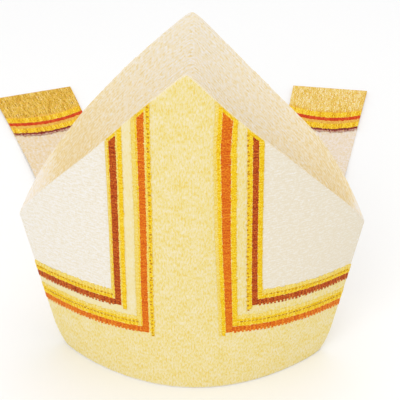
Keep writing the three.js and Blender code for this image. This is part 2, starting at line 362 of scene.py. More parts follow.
def sewn_line(line, z):
    """Length along the cloth of an upright line, which was sewn leaning a little inwards."""
    bow = np.exp(-((z - BOW_MIDDLE) / BOW_SPREAD) ** 2)
    left = {key: np.interp(-line, LEFT_SEWING["lines"], LEFT_SEWING[key]) for key in ("lean", "bow")}
    right = {key: np.interp(line, RIGHT_SEWING["lines"], RIGHT_SEWING[key]) for key in RIGHT_SEWING}
    left_in = left["lean"] * (z - LEFT_LEAN_FROM) + left["bow"] * bow
    turned = right["turn"] * np.maximum(z - RIGHT_TURN_FROM, 0)
    right_in = right["inset"] + right["lean"] * (z - RIGHT_LEAN_FROM) + right["bow"] * bow - turned
    middle = -RIM_SHIFT * (1 - z / PEAK_HEIGHT)
    left_in = left_in * smooth_step(-line / SEWING_FADE)
    right_in = right_in * smooth_step(line / SEWING_FADE)
    return line + middle + left_in - right_in


def column_share(line, fan, z):
    """Share of the half width of an upright line, which may fan out from there to the side seam."""
    share = bow_share(sewn_line(line, z), z)
    return share + (np.sign(line) * TRIM_REACH - share) * fan


def column_top(line, fan, facing):
    """Where an upright line meets the horn's upper edge, by halving."""
    low, high = np.zeros(line.shape), np.full(line.shape, PEAK_HEIGHT)
    for _ in range(HALVINGS):
        middle = (low + high) / 2
        below = edge_height(column_share(line, fan, middle), facing) > middle
        low, high = np.where(below, middle, low), np.where(below, high, middle)
    return low


def level_height(level, share, facing):
    """Height of a level line, which stands higher at the middle and was sewn higher on the wearer's left.
    The back mirrors the front, so that the lines meet at the side seams."""
    share = -facing * share
    bow = 1 - share ** 2
    left = np.interp(level, SEWN_LEVELS, LEFT_DROP) + np.interp(level, SEWN_LEVELS, LEFT_RISE) * bow
    right = np.interp(level, SEWN_LEVELS, RIGHT_DROP) + np.interp(level, SEWN_LEVELS, RIGHT_RISE) * bow
    return level + left + (right - left) * smooth_step((share + MIDDLE_BLEND) / (2 * MIDDLE_BLEND))


def then_steps(values, count):
    """Values, with the last one held through further steps, and a share that grows to 1 over those."""
    shares = np.linspace(0, 1, count)[1:]
    held = np.concatenate([values, np.full(len(shares), values[-1])])
    return held, np.concatenate([np.zeros(len(values)), shares])


def chart(line, fan, level, climb, facing):
    """Shares and heights of a grid on a horn: columns by line and fan, rows by level and climb."""
    level, climb = level[:, None], climb[:, None]
    z = level_height(level, column_share(line, fan, level), facing)
    z = z + (column_top(line, fan, facing) - z) * climb
    return column_share(line, fan, z), z


def slubbed_gold(name, tones, streak_mm, contrast):
    """Gold-coloured weave: thick soft yarns run up it in short lighter and darker streaks.
    The streaks are drawn about twice as wide as the real yarns, to show."""
    cloud_mm = 12
    cloud_share = 0.25
    middle_tone = 0.625
    relief_mm = 0.4
    material = bare_material(name)
    place = add_node(material, "ShaderNodeAttribute", attribute_name="cloth").outputs["Vector"]
    pale = add_node(material, "ShaderNodeAttribute", attribute_name="shade").outputs["Fac"]
    scale = [1000 / size for size in streak_mm] + [1]
    streak_place = add_node(material, "ShaderNodeMapping", {"Vector": place, "Scale": scale})
    streak = add_node(material, "ShaderNodeTexNoise", {
        "Vector": streak_place.outputs["Vector"], "Scale": 1.0, "Detail": 4.0, "Roughness": 0.65})
    cloud = add_node(material, "ShaderNodeTexNoise", {
        "Vector": place, "Scale": 1000 / cloud_mm, "Detail": 2.0})
    mottle = add_node(material, "ShaderNodeMath", {
        0: cloud.outputs["Fac"], 1: cloud_share, 2: streak.outputs["Fac"]}, operation="MULTIPLY_ADD")
    places = middle_tone + contrast * np.linspace(-1, 1, len(tones))
    ramp = add_node(material, "ShaderNodeValToRGB", {"Fac": mottle.outputs["Value"]},
                    stops=list(zip(places, tones)))
    softened = add_node(material, "ShaderNodeMix", {
        0: pale, 6: ramp.outputs["Color"], 7: linear(PALE_TONE)}, data_type="RGBA")
    bump = add_node(material, "ShaderNodeBump", {
        "Height": streak.outputs["Fac"], "Strength": 0.3, "Distance": relief_mm / 1000})
    shader = add_node(material, "ShaderNodeBsdfPrincipled", {
        "Base Color": softened.outputs[2], "Normal": bump.outputs["Normal"], "Roughness": 0.8,
        "IOR": 1.5, "Specular IOR Level": 0.3, "Sheen Weight": 0.1, "Sheen Roughness": 0.5})
    add_node(material, "ShaderNodeOutputMaterial", {"Surface": shader.outputs["BSDF"]})
    return material


gold_weave = slubbed_gold("slubbed gold weave", ("#ebcd62", "#eddb8c", "#efdda4", "#f2e6c0"),
                          streak_mm=(1.4, 3.6), contrast=0.14)


def make_orphrey(face, facing):
    half_lines = np.arange(0, UPRIGHT_HALF_WIDTH, ORPHREY_STEP)
    half_line, half_fan = then_steps(np.append(half_lines, UPRIGHT_HALF_WIDTH), SIDE_COLUMNS)
    line = np.concatenate([-half_line[:0:-1], half_line])
    fan = np.concatenate([half_fan[:0:-1], half_fan])
    level, climb = then_steps(np.linspace(TRIM_FOOT, BAND_TOP, BAND_ROWS), UPRIGHT_ROWS)
    share, z = chart(line, fan, level, climb, facing)
    sunk = roll(share, z, facing)
    outer = face_point(share, z, ORPHREY_PROUD + sunk, facing)
    inner = face_point(share, z, ORPHREY_CLEARANCE + sunk, facing)
    upright = np.maximum(fan[:-1], fan[1:]) <= 0
    keep = (climb[1:] <= 0)[:, None] | upright[None, :]
    cloth = np.stack([bow_length(share, z), z], axis=-1)
    in_upright = (np.abs(line) > PALE_STRIPE["near"]) & (np.abs(line) < PALE_STRIPE["far"]) & (fan == 0)
    above = (level > PALE_STRIPE["low"]) | (climb > 0)
    in_level = (level > PALE_STRIPE["low"]) & (level < PALE_STRIPE["high"]) & (climb == 0)
    outside = np.abs(line) > PALE_STRIPE["near"]
    pale = (in_upright[None, :] & above[:, None]) | (in_level[:, None] & outside[None, :])
    paleness = np.where(line < 0, PALE_STRIPE["left"], PALE_STRIPE["right"])
    orphrey = cloth_object(f"{face}_orphrey_cloth", outer, inner, cloth, paleness * pale, gold_weave, keep)
    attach(orphrey, "root")
    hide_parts(f"{face}_orphrey")
    flat = (2 * float(bow_length(TRIM_REACH, BAND_TOP)), PEAK_HEIGHT - TRIM_FOOT)
    return orphrey, flat, flat_area(cloth, keep)


orphreys = {face: make_orphrey(face, facing) for face, facing in FACES.items()}

# Braids
# Two L-shaped braids on each side of each orphrey, orange within brown: a pale ground strip worked over
# with close satin threads. Dark stitches tie some lines down, and a yellow cap closes each colour.
UPRIGHT_PITCH = 0.0011
LEVEL_PITCH = 0.00175
STITCH_HEIGHT = 0.0003
STITCH_HEIGHT_SHARES = (0.75, 1.15)
STITCH_FULLNESS = (1.05, 1.3)
STITCH_JAG = 0.00015
LOOSE_JAG = 2.5 * STITCH_JAG
LEVEL_JAG = {"straw": 0.0006, "yellow": 0.0003, "brown": 0.0003, "orange": 0.0003}
LEVEL_TURNS = 0.6
STITCH_LEAN = 0.0002
STITCH_RUN = {"share": np.array([0, 0.18, 0.82, 1]), "rise": np.array([0, 1, 1, 0])}
STITCH_SECTION = {"aside": np.array([-1, -0.6, 0, 0.6, 1]), "rise": np.array([0, 0.8, 1, 0.8, 0])}
SHORTEST_STITCH = 0.0005
SHORTEST_UPRIGHT = 0.0004
TOOTH = 0.0016
STRIP_PROUD = 0.0007
STRIP_EDGE = 0.0005
STRIP_CLEARANCE = 0.00005
STRIP_STEPS = 8
STRIP_FAN_STEPS = {"brown": 48, "orange": 56}
EDGE_FALL = 0.0007
EDGE_POINTS = 12
CAP = 0.0042
CAP_TOP = 0.0009
TAIL = 0.0035
LEVEL_INSET = 0.0006
LEVEL_LAP = 0.0004
DOTS = {"spacing": 0.0048, "slip": 0.0014, "stray": 0.0005, "half_length": 0.0008, "half_width": 0.0007,
        "height": 0.0002, "over": 0.0003, "below_top": 0.004}
DASHES = {"spacing": 0.0036, "slip": 0.0003, "length": 0.0021, "half_width": 0.0005, "height": 0.0004,
          "over": 0.0002, "before_seam": 0.003}
BRAIDS = {
    "brown": {
        "near": {"left": 0.0549, "right": 0.0551}, "far": 0.0697, "low": 0.086, "high": BAND_TOP,
        "left": [("yellow", 0.0550, 0.0588), ("straw", 0.0588, 0.0600), ("brown", 0.0600, 0.0663),
                 ("yellow", 0.0664, 0.0673), ("straw", 0.0673, 0.0702)],
        "right": [("yellow", 0.0552, 0.0596), ("brown", 0.0597, 0.0650), ("yellow", 0.0651, 0.0701)],
        "level": [("brown", 0.0863, 0.0925), ("yellow", 0.0926, 0.0966), ("yellow", 0.0972, 0.0983),
                  ("straw", 0.0983, 0.1023)],
        "dots": {"right": 0.0560}, "dashes": 0.0969,
    },
    "orange": {
        "near": {"left": 0.0304, "right": 0.0292}, "far": 0.0465, "low": 0.059, "high": 0.0768,
        "left": [("yellow", 0.0305, 0.0338), ("straw", 0.0338, 0.0354), ("orange", 0.0354, 0.0414),
                 ("yellow", 0.0416, 0.0428), ("straw", 0.0428, 0.0469)],
        "right": [("straw", 0.0293, 0.0318), ("yellow", 0.0318, 0.0352), ("orange", 0.0354, 0.0418),
                  ("yellow", 0.0420, 0.0468)],
        "level": [("orange", 0.0599, 0.0656), ("yellow", 0.0657, 0.0702), ("yellow", 0.0708, 0.0736),
                  ("straw", 0.0736, 0.0774)],
        "dots": {"left": 0.0322}, "dashes": 0.0705,
    },
}


def satin(place, start, end, middle, half, rng, jag=STITCH_JAG, height=STITCH_HEIGHT, turns=0):
    """Threads laid side by side, each from start to end across its line, with its middle and half width
    along the line. place(across, along, height) puts them on the cloth. Gives the points, the faces,
    the places on the cloth and one random shade a thread, and turns makes every second one paler."""
    count = len(middle)
    start = start + jag * rng.normal(size=count)
    end = np.maximum(end + jag * rng.normal(size=count), start + SHORTEST_STITCH)
    half = half * rng.uniform(*STITCH_FULLNESS, count)
    lean = STITCH_LEAN * rng.normal(size=count)
    run = STITCH_RUN["share"][None, :, None]
    aside = STITCH_SECTION["aside"][None, None, :]
    across = start[:, None, None] + (end - start)[:, None, None] * run + 0 * aside
    along = middle[:, None, None] + half[:, None, None] * aside + lean[:, None, None] * (run - 0.5)
    hump = STITCH_RUN["rise"][None, :, None] * STITCH_SECTION["rise"][None, None, :]
    lift = height * hump * rng.uniform(*STITCH_HEIGHT_SHARES, count)[:, None, None]
    points = place(across.ravel(), along.ravel(), lift.ravel())
    corners = np.arange(hump.size).reshape(hump.shape[1:])
    tops = np.stack([corners[:-1, :-1], corners[:-1, 1:], corners[1:, 1:], corners[1:, :-1]], axis=-1)
    under = [corners[:, 0], corners[-1, 1:], corners[-2::-1, -1], corners[0, -2:0:-1]]
    thread = tops.reshape(-1, 4).tolist() + [np.concatenate(under).tolist()]
    firsts = hump.size * np.arange(count)
    faces = [[first + corner for corner in face] for first in firsts.tolist() for face in thread]
    shade = np.repeat(rng.uniform(size=count) + turns * (np.arange(count) % 2 - 0.5), hump.size)
    return points, faces, np.stack([across.ravel(), along.ravel()], axis=-1), shade


def side_by_side(start, end, pitch):
    """Middles and half widths of threads that fill a line from start to end."""
    stops = np.linspace(start, end, max(2, int(round((end - start) / pitch)) + 1))
    return (stops[1:] + stops[:-1]) / 2, np.diff(stops) / 2


class Needlework:
    """Gathers cloths and sewn threads into one mesh, each of a material that it is given by name."""

    def __init__(self, materials):
        self.materials = materials
        self.points, self.faces, self.cloth, self.shade, self.slots = [], [], [], [], []
        self.count = 0

    def add(self, thread, points, faces, cloth, shade):
        self.points.append(points)
        self.faces += [[self.count + corner for corner in face] for face in faces]
        self.cloth.append(cloth)
        self.shade.append(shade)
        self.slots += [list(self.materials).index(thread)] * len(faces)
        self.count += len(points)

    def add_cloth(self, thread, outer, inner, cloth, keep=None):
        points, faces, used = cloth_faces(outer, inner, keep)
        self.add(thread, points, faces, cloth.reshape(-1, 2)[used], np.zeros(len(points)))

    def finish(self, name):
        return mesh_object(name, np.concatenate(self.points), self.faces, np.concatenate(self.cloth),
                           np.concatenate(self.shade), self.materials.values(), self.slots)


def satin_thread(name, tones, places=(0, 0.5, 1)):
    """Twisted embroidery thread: a soft gloss along each thread, each dyed a little apart and flecked
    where the weave shows the thread beneath."""
    fleck_mm = 1.3
    fleck_contrast = 1.9
    fleck_offset = -0.65
    dye_share = 0.35
    material = bare_material(name)
    shade = add_node(material, "ShaderNodeAttribute", attribute_name="shade").outputs["Fac"]
    place = add_node(material, "ShaderNodeAttribute", attribute_name="cloth").outputs["Vector"]
    fleck = add_node(material, "ShaderNodeTexNoise", {
        "Vector": place, "Scale": 1000 / fleck_mm, "Detail": 1.0})
    spread = add_node(material, "ShaderNodeMath", {
        0: fleck.outputs["Fac"], 1: fleck_contrast, 2: fleck_offset}, operation="MULTIPLY_ADD")
    dye = add_node(material, "ShaderNodeMath", {
        0: shade, 1: dye_share, 2: spread.outputs["Value"]}, operation="MULTIPLY_ADD")
    ramp = add_node(material, "ShaderNodeValToRGB", {"Fac": dye.outputs["Value"]},
                    stops=list(zip(places, tones)))
    shader = add_node(material, "ShaderNodeBsdfPrincipled", {
        "Base Color": ramp.outputs["Color"], "Roughness": 0.65, "IOR": 1.53, "Specular IOR Level": 0.15})
    add_node(material, "ShaderNodeOutputMaterial", {"Surface": shader.outputs["BSDF"]})
    return material


BRAID_MATERIALS = {
    "ground": slubbed_gold("pale straw ground", ("#ecc95a", "#f2d674", "#f5e29c"),
                           streak_mm=(1.5, 4.0), contrast=0.18),
    "yellow": satin_thread("yellow satin thread", ("#dfa604", "#f3cc0a", "#fae062")),
    "straw": satin_thread("straw satin thread", ("#e8c24a", "#f1d766", "#f6e6a2")),
    "brown": satin_thread("rust brown satin thread", ("#7c2a0a", "#bc480a", "#da862a")),
    "orange": satin_thread("orange satin thread", ("#c8480c", "#e07006", "#f09c28")),
    "ochre": satin_thread("ochre tie-down thread", ("#a86414", "#cc901c", "#e2b42c")),
}


class Braid(Needlework):
    """A braid on one side of a face: its plan, the slanting edge that cuts it off, and where it lies."""

    def __init__(self, facing, word, side, colour):
        super().__init__(BRAID_MATERIALS)
        self.facing = facing
        self.side = side
        self.colour = colour
        self.plan = BRAIDS[colour]
        self.near = self.plan["near"][word]
        self.far = self.plan["far"]
        self.lines = self.plan[word]
        self.main_near, self.main_far = next(line[1:] for line in self.lines if line[0] == colour)
        self.dots = self.plan["dots"].get(word)
        self.beneath = 0 if colour == "brown" else ORPHREY_PROUD
        self.edge_lines = np.linspace(self.near, self.far, EDGE_POINTS)
        self.edge_tops = column_top(side * self.edge_lines, np.zeros(EDGE_POINTS), facing)
        self.corner_share = side * float(bow_share(np.array(self.near), self.plan["low"]))

    def thread_height(self, beyond):
        """Height of the threads, which turn down over the strip's outer edge on to the cloth beneath."""
        kept = np.clip((EDGE_FALL - beyond) / (2 * EDGE_FALL), 0, 1)
        return self.beneath + (STRIP_PROUD - self.beneath) * kept

    def corner_height(self, level):
        """Height of a level line at the braid's inner corner."""
        return float(level_height(level, self.corner_share, self.facing))

    def on_upright(self, across, along, lift):
        share = bow_share(sewn_line(self.side * across, along), along)
        height = self.thread_height(across - self.far) + lift
        return face_point(share, along, height + roll(share, along, self.facing), self.facing)

    def on_level(self, across, along, lift):
        share = self.side * np.minimum(bow_share(along, across), TRIM_REACH)
        z = level_height(across, share, self.facing)
        share = self.side * np.minimum(bow_share(along, z), TRIM_REACH)
        height = self.thread_height(across - self.plan["high"]) + lift
        return face_point(share, level_height(across, share, self.facing), height, self.facing)

    def on_cap(self, across, along, lift):
        return self.on_upright(along, np.interp(along, self.edge_lines, self.edge_tops) + across, lift)

    def on_dot(self, across, along, lift):
        return self.on_upright(across, along, lift + DOTS["over"])

    def on_dash(self, across, along, lift):
        return self.on_level(along, across, lift + DASHES["over"])

    def sew(self, thread, place, start, end, middle, half, rng, **settings):
        self.add(thread, *satin(place, start, end, middle, half, rng, **settings))


def lay_ground(braid):
    """The pale strip under the threads, with its outer edge pressed down."""
    plan, facing = braid.plan, braid.facing
    columns = braid.side * np.linspace(braid.near, braid.far, STRIP_STEPS)
    line, fan = then_steps(columns, STRIP_FAN_STEPS[braid.colour])
    level, climb = then_steps(np.linspace(plan["low"], plan["high"], STRIP_STEPS), UPRIGHT_ROWS)
    share, z = chart(line, fan, level, climb, facing)
    sunk = roll(share, z, facing)
    last = STRIP_STEPS - 1
    proud = np.full(z.shape, STRIP_PROUD)
    proud[last:, last] = STRIP_EDGE
    proud[last, last:] = STRIP_EDGE
    outer = face_point(share, z, proud + sunk, facing)
    inner = face_point(share, z, ORPHREY_PROUD + STRIP_CLEARANCE + sunk, facing)
    keep = (climb[1:] <= 0)[:, None] | (fan[1:] <= 0)[None, :]
    cloth = np.stack([bow_length(share, z), z], axis=-1)
    braid.add_cloth("ground", outer, inner, cloth, keep)


def sew_uprights(braid, rng):
    """Upright lines, cut off by the slanting edge, with a yellow cap along it over the main colour."""
    for thread, near, far in braid.lines:
        main = thread == braid.colour
        bottom = braid.plan["level"][0][2]
        if main:
            bottom = braid.plan["low"]
        elif far < braid.main_near:
            bottom = braid.plan["low"] - TAIL
        drop = CAP if main else CAP_TOP
        top = float(np.interp(near, braid.edge_lines, braid.edge_tops)) - drop
        middle, half = side_by_side(braid.corner_height(bottom), top, UPRIGHT_PITCH)
        limit = np.interp(-(middle + drop), -braid.edge_tops, braid.edge_lines)
        reach = np.minimum(far, np.maximum(limit, near + SHORTEST_UPRIGHT))
        jag = STITCH_JAG if main else LOOSE_JAG
        braid.sew(thread, braid.on_upright, near, reach, middle, half, rng, jag=jag)
        if main:
            middle, half = side_by_side(near, far, UPRIGHT_PITCH)
            braid.sew("yellow", braid.on_cap, -CAP, -CAP_TOP, middle, half, rng)


def sew_dots(braid, rng):
    """Dark stitches that tie down an upright yellow line."""
    bottom = braid.corner_height(braid.plan["low"] - TAIL)
    spots = np.arange(bottom, braid.edge_tops[0] - DOTS["below_top"], DOTS["spacing"])
    spots = spots + rng.uniform(-DOTS["slip"], DOTS["slip"], len(spots))
    where = braid.dots + rng.uniform(-DOTS["stray"], DOTS["stray"], len(spots))
    half = np.full(len(spots), DOTS["half_width"])
    braid.sew("ochre", braid.on_dot, where - DOTS["half_length"], where + DOTS["half_length"], spots, half,
              rng, height=DOTS["height"])


def sew_levels(braid, rng):
    """Level lines, out to the side seam, whose main colour ends below in teeth."""
    for thread, low, high in braid.plan["level"]:
        main = thread == braid.colour
        seam = float(bow_length(TRIM_REACH, level_height(low, braid.side, braid.facing)))
        first = braid.main_far if main else braid.far - LEVEL_INSET
        first = braid.side * float(sewn_line(np.array(braid.side * first), low + LEFT_RISE[1]))
        middle, half = side_by_side(first - LEVEL_LAP, seam, LEVEL_PITCH)
        teeth = TOOTH * (np.arange(len(middle)) % 2) if main else 0 * middle
        braid.sew(thread, braid.on_level, low - teeth, high, middle, half, rng, jag=LEVEL_JAG[thread],
                  turns=LEVEL_TURNS)


def sew_dashes(braid, rng):
    """A dashed running stitch between the level yellow lines."""
    level = braid.plan["dashes"]
    seam = float(bow_length(TRIM_REACH, level))
    starts = np.arange(braid.far, seam - DASHES["before_seam"], DASHES["spacing"])
    starts = starts + rng.uniform(-DASHES["slip"], DASHES["slip"], len(starts))
    half = np.full(len(starts), DASHES["half_width"])
    braid.sew("ochre", braid.on_dash, starts, starts + DASHES["length"], 0 * starts + level, half, rng,
              height=DASHES["height"])


def make_braid(face, facing, word, side, colour, rng):
    braid = Braid(facing, word, side, colour)
    lay_ground(braid)
    sew_uprights(braid, rng)
    if braid.dots is not None:
        sew_dots(braid, rng)
    sew_levels(braid, rng)
    sew_dashes(braid, rng)
    piece = braid.finish(f"{face}_{word}_{colour}_satin_braid")
    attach(piece, "root")
    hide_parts(f"{face}_{word}_{colour}_braid")
    return piece


rng = np.random.default_rng(7)
for face, facing in FACES.items():
    for colour in BRAIDS:
        for word, side in (("left", -1), ("right", 1)):
            make_braid(face, facing, word, side, colour, rng)

# Crown web
# A soft cream cloth sewn over the upper edges of both horns. It lets the mitre fold flat, and when the
# horns stand apart it hangs between them in a rounded valley from shoulder to shoulder.
WEB_THICKNESS = 0.0012
WEB_REACH = 0.985
WEB_OVER = 0.0004
WEB_INSET = 0.0005
VALLEY_ROUNDING = 0.25
WEB_PULL = 0.0012
WEB_PULLS = 19
WEB_PULL_DEPTH = 0.05
WEB_HEM = 0.012
WEB_HEM_SHARE = 0.35
# Painted shade on the web, by share of its width: darker and warmer towards the shoulders, where the valley
# folds deep into shadow, and painted lighter at the very ends, where the cloth's edge catches the light.
WEB_PAINTED_SHADE = {"share": (-0.9, -0.83, -0.77, -0.72, -0.55, -0.3, 0, 0.5, 0.7, 0.87, 0.94),
              "warmth": (-1.6, -0.9, 0.2, 1.6, 1.4, 0.3, -0.3, 0.4, 1.2, 1.2, -1.3)}
WEB_COLUMNS = 160
WEB_ROWS = 72
web_wool = woven_wool("soft cream wool", ("#e9d39e", "#f0e2c2", "#f0e7d6", "#f3eeea"),
                      weft_mm=2.6, slub_mm=(3.6, 2.0), fleck_mm=2.0, spread=0.13, relief_mm=0.35)

web_share = np.linspace(-WEB_REACH, WEB_REACH, WEB_COLUMNS)
front_top = edge_height(web_share, -1) + WEB_OVER
back_top = edge_height(-web_share, 1) + WEB_OVER
web_top = (front_top + back_top) / 2
front_edge = face_point(web_share, front_top, -WEB_INSET, -1)
back_edge = face_point(-web_share, back_top, -WEB_INSET, 1)
half_span = (back_edge[:, 1] - front_edge[:, 1]) / 2
cloth_length = web_top - SHOULDER_HEIGHT
depth = np.sqrt(np.maximum(cloth_length ** 2 - half_span ** 2, 0))
across = np.sin(np.linspace(-np.pi / 2, np.pi / 2, WEB_ROWS))[:, None]
climb = np.hypot(across, VALLEY_ROUNDING) - VALLEY_ROUNDING
climb = climb / (np.hypot(1, VALLEY_ROUNDING) - VALLEY_ROUNDING)
pull = WEB_PULL * np.sin(web_share * WEB_PULLS) * (1 - across ** 2) * np.clip(depth / WEB_PULL_DEPTH, 0, 1)
web_middle = front_edge + (back_edge - front_edge) * (across[..., None] + 1) / 2
web_middle[..., 1] += pull * np.sign(across)
web_middle[..., 2] -= depth * (1 - climb)
web_normal = np.cross(np.gradient(web_middle, axis=1), np.gradient(web_middle, axis=0))
web_normal /= np.linalg.norm(web_normal, axis=-1, keepdims=True)
web_along = bow_length(web_share, web_top)
web_steps = np.linalg.norm(np.diff(web_middle, axis=0), axis=-1)
from_front = np.cumsum(np.concatenate([np.zeros((1, WEB_COLUMNS)), web_steps]), axis=0)
web_length = from_front[-1]
from_edge = np.minimum(from_front, web_length - from_front)
web_cloth = np.stack(np.broadcast_arrays(web_along, from_edge), axis=-1)
hemmed = np.clip(WEB_HEM_SHARE + from_edge / WEB_HEM, 0, 1)
half_cloth = web_normal * (WEB_THICKNESS / 2 * hemmed)[..., None]
# Painted light and shade for each column of the web.
web_painted_shade = np.interp(web_share, WEB_PAINTED_SHADE["share"], WEB_PAINTED_SHADE["warmth"])
web = cloth_object("crown_web_cloth", web_middle + half_cloth, web_middle - half_cloth, web_cloth,
                   web_painted_shade, web_wool)
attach(web, "root")
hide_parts("crown_web")

# Lappets
# Two bands of cream wool, each held by two rows of running stitches to the back of the rim, and turned
# out along the floor. They widen towards their ends, and lie in slow waves where they don't settle.
LAPPET_THICKNESS = 0.002
LAPPET_ROOT = 0.078
LAPPET_LENGTH = 0.435
LAPPET_ROOT_WIDTH = 0.058
LAPPET_END_WIDTH = 0.091
LAPPET_TAB_TOP = 0.024
TAB_OVER_TRIM = 0.0016
LAPPET_TAB_PROUD = TAB_OVER_TRIM + LAPPET_THICKNESS / 2
LAPPET_BEND = 0.007
LAPPET_TURN_LENGTH = 0.01
LAPPET_WAVE = 0.0012
WAVE_LENGTH = 0.031
WAVE_FADE = 0.7
SKEW_SHARE = 0.3
SKEW_ACROSS = 5
SKEW_LENGTH = 0.05
HEM_WIDTH_SHARE = 0.02
HEM_SHARE = 0.25
LAPPET_COLUMNS = 44
LAPPET_ROWS = 200
TAB_ROWS = 20
LAPPETS = {
    "lappet_left": {"side": -1, "splay": np.radians(-19), "over": 0.0036, "bend": 0.0105,
                    "reach": (0.0015, 0.003), "bow": (0.0095, 0.0095), "pale": 0.0, "warmth": 0.5},
    "lappet_right": {"side": 1, "splay": np.radians(9.9), "over": 0, "bend": 0,
                     "reach": (0.006, 0.0125), "bow": (0.008, 0.0125), "pale": 0.6, "warmth": -0.7},
}
LAPPET_RUN = LAPPET_LENGTH - LAPPET_TURN_LENGTH
TAB_RUN = LAPPET_TAB_TOP - LAPPET_THICKNESS / 2 - LAPPET_BEND + LAPPET_BEND * np.pi / 2
lappet_wool = woven_wool("cream lappet wool", ("#e6c890", "#e8d3b0", "#ebdac4", "#efe2d8"),
                         weft_mm=2.6, slub_mm=(2.4, 7), fleck_mm=2.2, spread=0.12, relief_mm=0.25)
SEAMS = (0.0035, 0.0125)
SEAM_FROM = -0.46
SEAM_TO = 0.43
SEAM_STITCH = 0.003
SEAM_GAP = 0.0014
SEAM_THREAD_HALF = 0.0004
SEAM_MATERIALS = {"cream": satin_thread("cream sewing thread", ("#d8c49a", "#e6d6b4", "#f0e6d0"))}


def back_point(along, z, proud):
    """A point outside the back horn, by its length along the cloth towards +X."""
    return face_point(-bow_share(along, z), z, proud, 1)


def lappet_point(lappet, offset, distance, lift):
    """A point above the middle of a lappet's cloth: offset across it, as a share of its width, and the
    distance along it from the end of its bend, or up its tab where that is negative."""
    lie = LAPPETS[lappet]
    along = lie["side"] * LAPPET_ROOT + offset * LAPPET_ROOT_WIDTH
    floor = LAPPET_THICKNESS / 2
    quarter = LAPPET_BEND * np.pi / 2
    turn = np.clip(1 + distance / quarter, 0, 1) * np.pi / 2
    tab = np.maximum(-distance - quarter, 0)
    z = floor + LAPPET_BEND * (1 - np.sin(turn)) + tab + lift * np.sin(turn)
    proud = LAPPET_TAB_PROUD + LAPPET_BEND * (1 - np.cos(turn)) + lift * np.cos(turn)
    start = back_point(along, z, proud)
    root = back_point(np.array(lie["side"] * LAPPET_ROOT), 0.0, 0.0)
    axis = np.array([np.sin(lie["splay"]), np.cos(lie["splay"]), 0])
    aside = np.array([axis[1], -axis[0], 0])
    reach = lie["reach"][0] + (lie["reach"][1] - lie["reach"][0]) * (offset + 0.5)
    sideways = offset * (LAPPET_END_WIDTH + lie["over"]) + lie["over"] / 2 - RIM_SHIFT
    end = root + (LAPPET_LENGTH + reach)[..., None] * axis + sideways[..., None] * aside
    run = np.clip(distance / LAPPET_RUN, 0, 1)
    wave = LAPPET_WAVE * (1 + np.sin(distance / WAVE_LENGTH + lie["side"])) * np.sin(np.pi * run) ** WAVE_FADE
    wave = wave * (1 + SKEW_SHARE * np.sin(offset * SKEW_ACROSS + distance / SKEW_LENGTH))
    bend = lie["bend"] * np.sin(np.pi * run)
    point = start + (end - start) * run[..., None] + bend[..., None] * aside
    point[..., 2] = np.where(distance > 0, floor + lift + wave, start[..., 2])
    return point


bands = {}
for lappet in LAPPETS:
    offset = np.linspace(-0.5, 0.5, LAPPET_COLUMNS)
    tab_distance = np.linspace(-TAB_RUN, 0, TAB_ROWS)[:-1]
    distance = np.concatenate([tab_distance, np.linspace(0, LAPPET_RUN, LAPPET_ROWS)])
    offset, distance = np.meshgrid(offset, distance)
    near_end = np.minimum(LAPPET_RUN - distance, distance + TAB_RUN) / LAPPET_END_WIDTH
    near_edge = np.minimum(0.5 - np.abs(offset), near_end)
    inward = np.clip(near_edge / HEM_WIDTH_SHARE, 0, 1)
    hem = HEM_SHARE + (1 - HEM_SHARE) * np.sqrt(1 - (1 - inward) ** 2)
    half = LAPPET_THICKNESS / 2 * hem
    outer = lappet_point(lappet, offset, distance, half)
    inner = lappet_point(lappet, offset, distance, -half)
    widening = np.clip(distance / LAPPET_RUN, 0, 1)
    width = LAPPET_ROOT_WIDTH + (LAPPET_END_WIDTH - LAPPET_ROOT_WIDTH) * widening
    cloth = np.stack([offset * width, distance], axis=-1)
    band = cloth_object(f"{lappet}_cloth", outer, inner, cloth, LAPPETS[lappet]["warmth"], lappet_wool)
    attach(band, "root")
    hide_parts(lappet)
    work = Needlework(SEAM_MATERIALS)

    def on_tab(across, along, lift):
        return lappet_point(lappet, across / LAPPET_ROOT_WIDTH, along, LAPPET_THICKNESS / 2 + lift)

    for seam in SEAMS:
        starts = np.arange(SEAM_FROM * LAPPET_ROOT_WIDTH, SEAM_TO * LAPPET_ROOT_WIDTH, SEAM_STITCH + SEAM_GAP)
        half = np.full(len(starts), SEAM_THREAD_HALF)
        middle = 0 * starts + seam - TAB_RUN
        work.add("cream", *satin(on_tab, starts, starts + SEAM_STITCH, middle, half, rng))
    stitches = work.finish(f"{lappet}_seam_stitches")
    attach(stitches, "root")
    bands[lappet] = (band, stitches, flat_area(cloth))

# Lappet ends
# Each lappet ends in a gold field of close upright floats in gold, brown and pale yarn, closed by a
# yellow and a red line, a pale gap, and a yellow line edged in dark and rose. The lines bow a little.
BORDER = 0.0925
BORDER_SHIFT = 0.0022
BORDER_PROUD = 0.0008
BORDER_CLEARANCE = 0.0002
BORDER_EDGE = 0.0004
BORDER_REACH = 0.499
BORDER_ROWS = 46
FLOAT_PITCH = 0.0011
FLOAT_LENGTH = 0.0075
FLOAT_LAP = 0.0008
FLOAT_SLIP = 0.45
FLOAT_JAG = 0.0006
FLOAT_HEIGHT = 0.00012
FIELD_START = 0.0006
FIELD_LENGTH = 0.0545
LINE_JAG = {"yellow": 0.0004, "red": 0.0004, "rose": 0.001, "dark": 0.0006}
LINE_RAISED = {"yellow": 0, "red": 0, "rose": 0, "dark": 0.0002}
BORDER_LINES = [("yellow", 0.054, 0.0648), ("red", 0.0650, 0.0718), ("yellow", 0.0772, 0.0882),
                ("rose", 0.0900, 0.0940), ("dark", 0.0878, 0.0924)]
